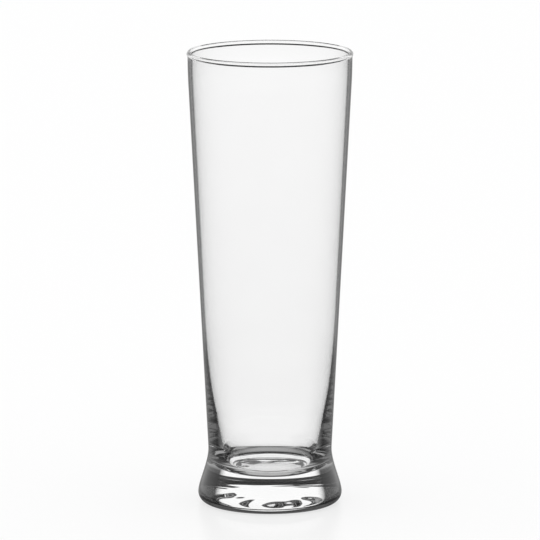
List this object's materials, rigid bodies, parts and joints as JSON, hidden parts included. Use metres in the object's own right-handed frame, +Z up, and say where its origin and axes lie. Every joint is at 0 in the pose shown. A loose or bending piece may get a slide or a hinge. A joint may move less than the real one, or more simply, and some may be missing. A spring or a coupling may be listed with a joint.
{
  "type": "pilsner glass",
  "caption": "Tall tapered clear beer glass with a fire-polished rim, a wall that thickens towards its floor, and a heavy flared foot with a hollowed underside.",
  "frame": {"origin": "centre of the standing ring, on the face that the glass stands on", "axes": "+Z up along the axis of the glass, from the foot to the rim; the glass is round, so +X and +Y are free"},
  "size_m": [0.0762, 0.0762, 0.21],
  "materials": {
    "clear_glass": "clear, fire-polished"
  },
  "bodies": {
    "root": {"bowl": "clear_glass", "foot": "clear_glass"}
  },
  "joints": []
}
